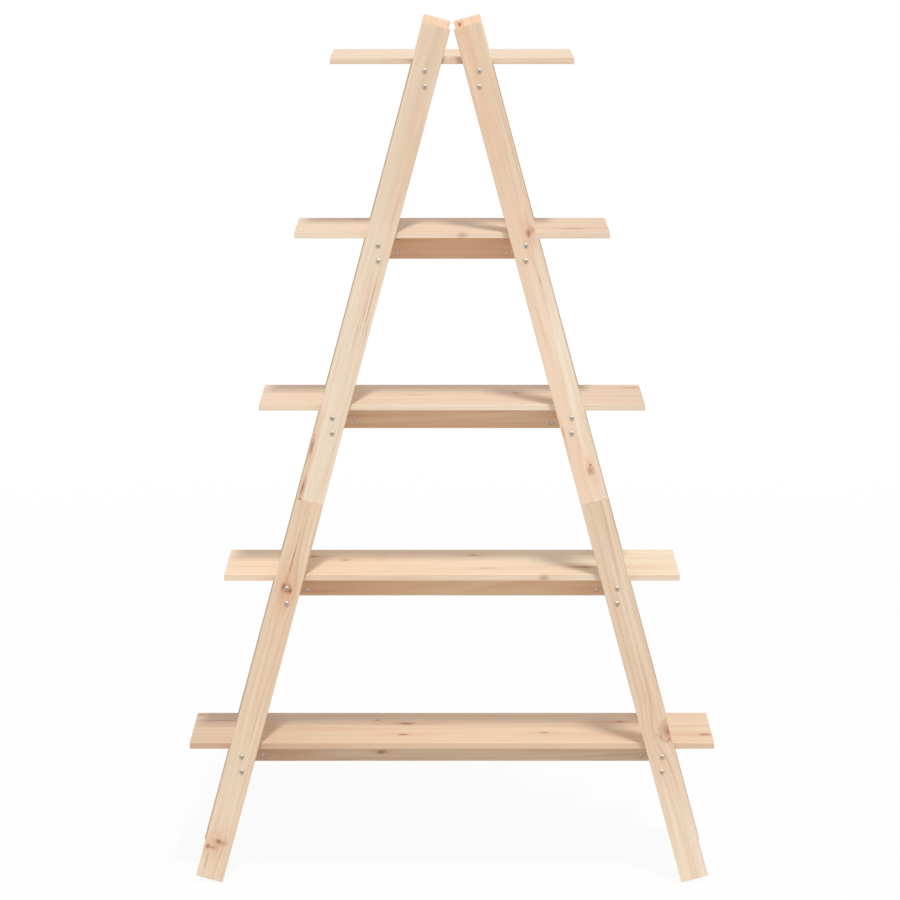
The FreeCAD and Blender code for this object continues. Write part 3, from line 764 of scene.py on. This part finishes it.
def zinc_finish(name, zinc, shade, roughness):
    """Zinc plating with faint dull patches."""
    material, net, surface = new_material(name)
    place = net.object_place()
    patch = net.noise(place, PLATING)[0]
    plating = net.mix(net.ramp(patch, PLATING.low, PLATING.high), opaque(zinc), opaque(shade))
    recess = net.add("ShaderNodeAttribute", attribute_name=RECESS)["Fac"]
    recess_shade = bpy.context.scene.shelf_hardware.recess_painted_shade
    # The recess faces take painted shade, the darker recess colour, inside the sockets and cross
    # recesses
    net.fill(surface, {
        "Base Color": net.mix(recess, plating, opaque(recess_shade)),
        "Roughness": net.spread(patch, *roughness), "Metallic": 1.0,
        "Normal": net.bump(net.noise(place, SCRATCHES)[0], SCRATCH_BUMP, METAL_RELIEF)})
    return material


def bright_zinc(look):
    """The plating that the bolts and screws share."""
    return bpy.data.materials.get(BRIGHT_ZINC) or zinc_finish(
        BRIGHT_ZINC, look.zinc, look.zinc_shade, BRIGHT_ROUGHNESS)


def steel_finish(look):
    """Galvanised sheet with its frost of zinc grains and rolling lines."""
    material, net, surface = new_material("galvanised_steel")
    place = net.object_place()
    grains = net.add("ShaderNodeTexVoronoi", {"Vector": place, "Scale": ZINC_GRAINS})
    grain = net.add("ShaderNodeSeparateColor", {0: grains["Color"]})[0]
    grain = net.times(grain, 1.0 - ROLLED_SHARE)
    rolled = net.noise(place, ROLLING)[0]
    tone = net.math("MULTIPLY_ADD", rolled, ROLLED_SHARE, grain)
    net.fill(surface, {
        "Base Color": net.mix(tone, opaque(look.steel), opaque(look.steel_shade)),
        "Roughness": net.spread(tone, *STEEL_ROUGHNESS), "Metallic": 1.0,
        "Normal": net.bump(rolled, ROLLED_BUMP, METAL_RELIEF)})
    return material


def beech_finish(look):
    """Turned beech with short flecks."""
    material, net, surface = new_material("turned_beech")
    fleck = net.noise(net.object_place(), FLECKS)[0]
    shown = net.ramp(fleck, FLECKS.low, FLECKS.high)
    net.fill(surface, {
        "Base Color": net.mix(shown, opaque(look.beech), opaque(look.beech_fleck)),
        "Roughness": net.spread(fleck, *BEECH_ROUGHNESS)})
    return material


def lifted(net, geometry, height, turn=UPRIGHT):
    """Geometry turned about the origin, then lifted."""
    return net.add("GeometryNodeTransform", {
        "Geometry": geometry, "Translation": net.joined(Z=height), "Rotation": turn})[0]


def cylinder(net, sides, radius, depth, height=0.0, turn=UPRIGHT):
    """A cylinder, turned from upright, whose middle is at a height."""
    body = net.add("GeometryNodeMeshCylinder", {"Vertices": sides, "Radius": radius, "Depth": depth})
    return lifted(net, body["Mesh"], height, turn)


def sphere(net, rings, radius):
    """A ball about the origin, which two rings make into a double cone."""
    return net.add("GeometryNodeMeshUVSphere", {
        "Segments": ROUND_SIDES, "Rings": rings, "Radius": radius})["Mesh"]


def cube(net, x, y, z):
    """A box about the origin."""
    return net.add("GeometryNodeMeshCube", {"Size": net.joined(X=x, Y=y, Z=z)})["Mesh"]


def combined(net, operation, *meshes):
    """Meshes joined or shared; in a difference the first loses the others."""
    node = net.node("GeometryNodeMeshBoolean", operation=operation, solver="EXACT")
    cutters = list(meshes)
    if operation == "DIFFERENCE":
        net.feed(node.inputs["Mesh 1"], cutters.pop(0))
    for mesh in cutters:
        net.feed(node.inputs["Mesh 2"], mesh)
    return node.outputs["Mesh"]


def planted(net, given, result, mesh):
    """A copy of a mesh at every seat, turned to face its way, as one mesh with its finish."""
    def attribute(name):
        outputs = net.add("GeometryNodeInputNamedAttribute", {"Name": name}, data_type="FLOAT_VECTOR")
        return outputs["Attribute"]

    turn = net.add(
        "FunctionNodeAlignRotationToVector", {"Vector": attribute("facing")}, axis="Z")[0]
    turn = net.add("FunctionNodeAlignRotationToVector", {
        "Rotation": turn, "Vector": attribute("bolt")}, axis="Y", pivot_axis="Z")[0]
    copies = net.add("GeometryNodeInstanceOnPoints", {
        "Points": given["Geometry"], "Instance": mesh, "Rotation": turn})[0]
    solid = net.add("GeometryNodeRealizeInstances", {"Geometry": copies})[0]
    finished = net.add("GeometryNodeSetMaterial", {"Geometry": solid, "Material": given["Finish"]})
    net.feed(result["Geometry"], finished[0])


def domed_fastener_tree():
    """A domed head with a hexagon or cross recess on a plain shank."""
    tree, net, given, result = new_group(
        FASTENER_GROUP, "GeometryNodeTree",
        {"Geometry": GEOMETRY, "Bool": ("Cross Recess",), "Material": FINISH, "Float": (
            "Head Diameter", "Head Height", "Rim Height", "Recess Width", "Recess Depth",
            "Shank Diameter", "Shank Length")},
        {"Geometry": GEOMETRY})
    radius = net.halved(given["Head Diameter"])
    height, width, length = given["Head Height"], given["Recess Width"], given["Shank Length"]
    rise = net.math("SUBTRACT", height, given["Rim Height"])
    squares = net.math("ADD", net.math("POWER", radius, 2.0), net.math("POWER", rise, 2.0))
    dome = net.math("DIVIDE", squares, net.times(rise, 2.0))
    ball = lifted(net, sphere(net, DOME_RINGS, dome), net.math("SUBTRACT", height, dome))
    block = cylinder(net, ROUND_SIDES, radius, height, net.halved(height))
    head = combined(net, "INTERSECT", block, ball)
    deep = net.times(given["Recess Depth"], 2.0)
    corner = net.math("DIVIDE", width, math.sqrt(3.0))
    hexagon = cylinder(net, HEXAGON_SIDES, corner, deep, height)
    blade = cube(net, width, net.times(width, CROSS_BLADE), deep)
    blades = (lifted(net, blade, height), lifted(net, blade, height, TURNED_LEVEL))
    recess = net.add("GeometryNodeSwitch", {
        "Switch": given["Cross Recess"], "False": hexagon, "True": combined(net, "UNION", *blades)},
        input_type="GEOMETRY")
    head = combined(net, "DIFFERENCE", head, recess[0])
    spot = net.add("GeometryNodeInputPosition")[0]
    from_axis = net.vector("LENGTH", net.vector("MULTIPLY", spot, LEVEL))
    inside = net.math("LESS_THAN", from_axis, net.times(width, RECESS_REACH))
    head = net.add("GeometryNodeStoreNamedAttribute", {
        "Geometry": head, "Name": RECESS, "Value": inside}, domain="FACE")[0]
    sunk = net.halved(given["Rim Height"])
    middle = net.halved(net.math("SUBTRACT", sunk, length))
    shank = cylinder(
        net, SHANK_SIDES, net.halved(given["Shank Diameter"]), net.math("ADD", length, sunk), middle)
    planted(net, given, result, combined(net, "UNION", head, shank))
    return tree


def barrel_nut_tree():
    """A barrel with broken edges, a screwdriver slot in each end and a cross bore for the bolt."""
    tree, net, given, result = new_group(
        "barrel_nut", "GeometryNodeTree",
        {"Geometry": GEOMETRY, "Material": FINISH, "Float": (
            "Diameter", "Length", "Chamfer", "Slot Width", "Slot Depth", "Bore Diameter")},
        {"Geometry": GEOMETRY})
    radius, half = net.halved(given["Diameter"]), net.halved(given["Length"])
    reach = net.math("SUBTRACT", net.math("ADD", radius, half), given["Chamfer"])
    barrel = combined(
        net, "INTERSECT", cylinder(net, ROUND_SIDES, radius, given["Length"]),
        sphere(net, SPINDLE_RINGS, reach))
    wide = net.times(given["Diameter"], CUT_THROUGH)
    bore = cylinder(net, SHANK_SIDES, net.halved(given["Bore Diameter"]), wide, turn=TURNED_DEEP)
    slot = cube(net, wide, given["Slot Width"], net.times(given["Slot Depth"], 2.0))
    ends = (lifted(net, slot, half), lifted(net, slot, net.times(half, -1.0)))
    planted(net, given, result, combined(net, "DIFFERENCE", barrel, bore, *ends))
    return tree


def placed(name, data):
    """A new object in the scene."""
    item = bpy.data.objects.new(name, data)
    bpy.context.scene.collection.objects.link(item)
    return item


def grow(name, seats, tree, values, node):
    """Grow fasteners on their seats as one plain mesh that stands for a CAD node."""
    mesh = bpy.data.meshes.new(name + "_seats")
    mesh.from_pydata([seat.place for seat in seats], [], [])
    for label in ("facing", "bolt"):
        ways = mesh.attributes.new(label, "FLOAT_VECTOR", "POINT")
        ways.data.foreach_set("vector", [v for seat in seats for v in getattr(seat, label)])
    piece = placed(name, mesh)
    modifier = piece.modifiers.new("grow", "NODES")
    modifier.node_group = tree
    for socket in tree.interface.items_tree:
        if socket.in_out == "INPUT" and socket.name in values:
            modifier[socket.identifier] = values[socket.name]
    grown = piece.evaluated_get(bpy.context.evaluated_depsgraph_get())
    solid = bpy.data.meshes.new_from_object(grown)
    piece.modifiers.remove(modifier)
    piece.data = solid
    solid.name = name
    solid.shade_smooth()
    solid.set_sharp_from_angle(angle=SHARP_ANGLE)
    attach(piece, BODY)
    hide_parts(node)


def bolt_rows(cleat):
    """The heights of the two bolts that go through a cleat's ends or faces."""
    head = bpy.context.scene.shelf_hardware.bolt_head
    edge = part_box("top_right_cleat")[1].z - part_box("leg_bolts")[1].z + head / 2
    low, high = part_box(cleat)
    return high.z - edge, low.z + edge


def cleats():
    """Each cleat's name, its tier and which side it is on."""
    return [("%s_%s_cleat" % (tier, side), tier, sign) for tier in TIERS for side, sign in SIDES.items()]


def fastener_values(look, kind, recess, length):
    """What the tree of domed fasteners takes for a bolt or screw, from its settings."""
    settings = {
        "Head Diameter": "head", "Head Height": "head_height", "Rim Height": "rim",
        "Recess Width": recess, "Recess Depth": recess + "_depth", "Shank Diameter": "diameter"}
    values = {label: getattr(look, "%s_%s" % (kind, name)) for label, name in settings.items()}
    values.update({"Shank Length": length, "Cross Recess": recess == "cross"})
    return {**values, "Finish": bright_zinc(look)}


class SHELF_OT_bolts(Operator):
    """Grow the domed bolts on the legs' faces and on the cleats' outer faces"""

    bl_idname = "shelf.bolts"
    bl_label = "Grow Bolts"

    def execute(self, context):
        look = context.scene.shelf_hardware
        leg_seats, stretcher_seats = [], []
        for cleat, tier, sign in cleats():
            for height in bolt_rows(cleat):
                for end, way in ENDS.items():
                    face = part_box(end + "_right_lower_leg")[1 if way > 0 else 0].y
                    leg_seats.append(Seat((centre(cleat).x, face, height), way * DEEP, UP))
                if tier != TIERS[0]:
                    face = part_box(cleat)[1 if sign > 0 else 0].x
                    stretcher_seats.append(Seat((face, 0.0, height), sign * ACROSS, UP))
        tree = shared_group(FASTENER_GROUP, domed_fastener_tree)
        for node, seats in (("leg_bolts", leg_seats), ("stretcher_bolts", stretcher_seats)):
            way = max(range(3), key=lambda axis: abs(seats[0].facing[axis]))
            tip = min(abs(corner.co[way]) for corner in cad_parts[node].data.vertices)
            length = min(abs(seat.place[way]) for seat in seats) - tip
            values = fastener_values(look, "bolt", "socket", length)
            grow(node + "_domed", seats, tree, values, node)
        return {"FINISHED"}


class SHELF_OT_barrel_nuts(Operator):
    """Grow the barrel nuts that the bolts pull on in the cleats and stretchers"""

    bl_idname = "shelf.barrel_nuts"
    bl_label = "Grow Barrel Nuts"

    def execute(self, context):
        look = context.scene.shelf_hardware
        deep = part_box("leg_barrel_nuts")[1].y - look.nut_diameter / 2
        leg_seats, stretcher_seats = [], []
        for cleat, tier, sign in cleats():
            for height in bolt_rows(cleat):
                for way in ENDS.values():
                    leg_seats.append(Seat((centre(cleat).x, way * deep, height), ACROSS, DEEP))
                if tier != TIERS[0]:
                    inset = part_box(tier + "_stretcher")[1].x - look.nut_inset
                    stretcher_seats.append(Seat((sign * inset, 0.0, height), DEEP, ACROSS))
        tree = barrel_nut_tree()
        dull = zinc_finish("dull_zinc", look.dull_zinc, look.dull_zinc_shade, DULL_ROUGHNESS)
        for node, seats in (("leg_barrel_nuts", leg_seats), ("stretcher_barrel_nuts", stretcher_seats)):
            grow(node + "_slotted", seats, tree, {
                "Diameter": look.nut_diameter, "Length": look.nut_length, "Chamfer": look.nut_chamfer,
                "Slot Width": look.nut_slot, "Slot Depth": look.nut_slot_depth,
                "Bore Diameter": look.bolt_diameter, "Finish": dull,
            }, node)
        return {"FINISHED"}


class SHELF_OT_plates(Operator):
    """Give the joining plates behind the leg seams their steel and grow their screws"""

    bl_idname = "shelf.plates"
    bl_label = "Dress Plates"

    def execute(self, context):
        look = context.scene.shelf_hardware
        steel = steel_finish(look)
        seats = []
        for end, way in ENDS.items():
            for side, sign in SIDES.items():
                name = "%s_%s_joining_plate" % (end, side)
                wear(name, steel)
                low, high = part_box(name)
                face = low.y if way > 0 else high.y
                along = leg_turn(sign) @ UP
                for step in (-look.screw_outer, -look.screw_inner, look.screw_inner, look.screw_outer):
                    place = centre(name) + along * step
                    seats.append(Seat((place.x, face, place.z), -way * DEEP, along))
        tree = shared_group(FASTENER_GROUP, domed_fastener_tree)
        values = fastener_values(look, "screw", "cross", look.screw_length)
        grow("joining_plate_screws_domed", seats, tree, values, "joining_plate_screws")
        return {"FINISHED"}


class SHELF_OT_dowels(Operator):
    """Give the hidden dowels in the leg seams and under the boards their beech"""

    bl_idname = "shelf.dowels"
    bl_label = "Dress Dowels"

    def execute(self, context):
        beech = beech_finish(context.scene.shelf_hardware)
        for node in ("leg_dowels", "shelf_dowels"):
            wear(node, beech)
        return {"FINISHED"}


# Stage

# The share of its reach at which the floor begins to fade
FADE_START = 0.4


def seen_ray(net):
    """1 for a ray that shows the background to the camera, to metal or to glass."""
    path = net.add("ShaderNodeLightPath")
    seen = net.math("MAXIMUM", path["Is Camera Ray"], path["Is Glossy Ray"])
    return net.math("MAXIMUM", seen, path["Is Transmission Ray"])


def floor_finish(look):
    """A pale floor that keeps shadows, fades into the white background and is clear from below."""
    material, net = empty_nodes(bpy.data.materials.new("pale_floor"))
    away = net.vector("LENGTH", net.object_place())
    tone = look.floor_tone
    matt = net.add("ShaderNodeBsdfDiffuse", {"Color": opaque((tone, tone, tone))})[0]
    white = net.add("ShaderNodeEmission", {"Strength": 1.0})[0]
    whitened = net.times(seen_ray(net), look.floor_white)
    near = net.add("ShaderNodeMixShader", {0: whitened, 1: matt, 2: white})[0]
    clear = net.add("ShaderNodeBsdfTransparent")[0]
    fade = net.ramp(away, look.floor_reach * FADE_START, look.floor_reach)
    below = net.add("ShaderNodeNewGeometry")["Backfacing"]
    gone = net.math("MAXIMUM", fade, below)
    faded = net.add("ShaderNodeMixShader", {0: gone, 1: near, 2: clear})[0]
    net.add("ShaderNodeOutputMaterial", {"Surface": faded})
    return material


def white_world(look):
    """White to the camera, and an even light to everything else."""
    world, net = empty_nodes(bpy.data.worlds.new("white_room"))
    strength = net.spread(seen_ray(net), look.sky, 1.0)
    light = net.add("ShaderNodeBackground", {"Color": (1.0, 1.0, 1.0, 1.0), "Strength": strength})
    net.add("ShaderNodeOutputWorld", {"Surface": light[0]})
    return world


class SHELF_OT_stage(Operator):
    """Set the floor, the white room, the lamp and the camera"""

    bl_idname = "shelf.stage"
    bl_label = "Set Stage"

    def execute(self, context):
        scene = context.scene
        look = scene.shelf_stage
        reach = look.floor_reach
        mesh = bpy.data.meshes.new("floor")
        mesh.from_pydata(
            [(-reach, -reach, 0.0), (reach, -reach, 0.0), (reach, reach, 0.0), (-reach, reach, 0.0)],
            [], [(0, 1, 2, 3)])
        mesh.materials.append(floor_finish(look))
        floor = placed("floor", mesh)
        scene.world = white_world(look)

        lamp = bpy.data.lights.new("key", "AREA")
        lamp.shape = "RECTANGLE"
        lamp.size, lamp.size_y = look.key_length, look.key_width
        lamp.energy = look.key_power
        level = math.cos(look.key_rise)
        towards = Vector((
            math.sin(look.key_turn) * level, -math.cos(look.key_turn) * level, math.sin(look.key_rise)))
        level_side = Vector((math.cos(look.key_turn), math.sin(look.key_turn), 0.0))
        lower_side = level_side.cross(towards)
        long_side = level_side * math.cos(look.key_roll) + lower_side * math.sin(look.key_roll)
        middle = (cad_box[0] + cad_box[1]) / 2
        turn = Matrix((long_side, towards.cross(long_side), towards)).transposed().to_4x4()
        key = placed("key", lamp)
        key.matrix_world = Matrix.Translation(middle + towards * look.key_distance) @ turn

        lens = bpy.data.cameras.new("camera")
        lens.lens = look.camera_lens
        camera = placed("camera", lens)
        camera.location = look.camera_place
        camera.rotation_euler = (QUARTER - look.camera_dip, 0.0, 0.0)
        scene.camera = camera
        scene.view_settings.view_transform = "Standard"
        return {"FINISHED"}


STEPS = (
    SHELF_OT_legs, SHELF_OT_boards, SHELF_OT_rails, SHELF_OT_bolts, SHELF_OT_barrel_nuts,
    SHELF_OT_plates, SHELF_OT_dowels, SHELF_OT_stage)


class SHELF_PT_panel(Panel):
    """Lists the shelf's settings and the steps that dress it"""

    bl_idname = "SHELF_PT_panel"
    bl_label = "A-Frame Shelf"
    bl_space_type = "VIEW_3D"
    bl_region_type = "UI"
    bl_category = "Shelf"

    def draw(self, context):
        for step in STEPS:
            self.layout.operator(step.bl_idname)
        for group in SETTINGS:
            settings = getattr(context.scene, group)
            box = self.layout.box()
            for name in settings.bl_rna.properties.keys():
                if name not in ("rna_type", "name"):
                    box.prop(settings, name)


SETTINGS = {"shelf_pine": PineSettings, "shelf_hardware": HardwareSettings, "shelf_stage": StageSettings}
CLASSES = (*SETTINGS.values(), *STEPS, SHELF_PT_panel)


def register():
    for kind in CLASSES:
        bpy.utils.register_class(kind)
    for name, kind in SETTINGS.items():
        setattr(bpy.types.Scene, name, PointerProperty(type=kind))


def unregister():
    for name in SETTINGS:
        delattr(bpy.types.Scene, name)
    for kind in reversed(CLASSES):
        bpy.utils.unregister_class(kind)


def main():
    register()
    for step in STEPS:
        family, name = step.bl_idname.split(".")
        getattr(getattr(bpy.ops, family), name)()


if __name__ == "__main__":
    main()
